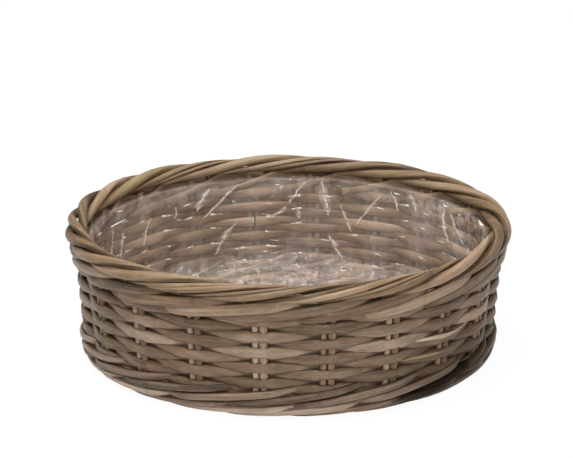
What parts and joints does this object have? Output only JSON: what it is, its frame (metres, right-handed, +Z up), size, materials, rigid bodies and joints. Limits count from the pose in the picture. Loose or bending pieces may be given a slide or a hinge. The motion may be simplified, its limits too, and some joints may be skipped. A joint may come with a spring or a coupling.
{
  "type": "woven cachepot",
  "caption": "Round, shallow planter basket of woven grey rattan cane with a rolled border and a clear film liner.",
  "frame": {"origin": "centre of the footprint, on the surface that the basket stands on", "axes": "+Z up along the basket's axis; the pictured side faces -Y"},
  "size_m": [0.398, 0.398, 0.1249],
  "materials": {
    "stake_cane": "dry, unvarnished",
    "weaver_cane": "dry, unvarnished",
    "wale_cane": "dry, unvarnished",
    "border_cane": "dry, slight sheen",
    "base_cane": "dry, unvarnished",
    "liner_film": "clear, creased"
  },
  "bodies": {
    "root": {"stake_cane_01": "stake_cane", "stake_cane_02": "stake_cane", "stake_cane_03": "stake_cane", "stake_cane_04": "stake_cane", "stake_cane_05": "stake_cane", "stake_cane_06": "stake_cane", "stake_cane_07": "stake_cane", "stake_cane_08": "stake_cane", "stake_cane_09": "stake_cane", "stake_cane_10": "stake_cane", "stake_cane_11": "stake_cane", "stake_cane_12": "stake_cane", "stake_cane_13": "stake_cane", "stake_cane_14": "stake_cane", "stake_cane_15": "stake_cane", "stake_cane_16": "stake_cane", "stake_cane_17": "stake_cane", "stake_cane_18": "stake_cane", "stake_cane_19": "stake_cane", "stake_cane_20": "stake_cane", "border_strand_01": "border_cane", "border_strand_02": "border_cane", "border_strand_03": "border_cane", "border_strand_04": "border_cane", "border_strand_05": "border_cane", "border_strand_06": "border_cane", "border_strand_07": "border_cane", "border_strand_08": "border_cane", "border_strand_09": "border_cane", "border_strand_10": "border_cane", "border_strand_11": "border_cane", "border_strand_12": "border_cane", "border_strand_13": "border_cane", "border_strand_14": "border_cane", "border_strand_15": "border_cane", "border_strand_16": "border_cane", "border_strand_17": "border_cane", "border_strand_18": "border_cane", "border_strand_19": "border_cane", "border_strand_20": "border_cane", "side_weaver_01": "weaver_cane", "side_weaver_02": "weaver_cane", "side_weaver_03": "weaver_cane", "side_weaver_04": "weaver_cane", "side_weaver_05": "weaver_cane", "side_weaver_06": "weaver_cane", "side_weaver_07": "weaver_cane", "side_weaver_08": "weaver_cane", "side_weaver_09": "weaver_cane", "side_weaver_10": "weaver_cane", "side_weaver_11": "weaver_cane", "bottom_wale": "wale_cane", "top_wale_01": "wale_cane", "top_wale_02": "wale_cane", "foot_rod_lower": "wale_cane", "foot_rod_upper": "wale_cane", "base_weaver_a": "base_cane", "base_weaver_b": "base_cane", "liner": "liner_film"}
  },
  "joints": []
}
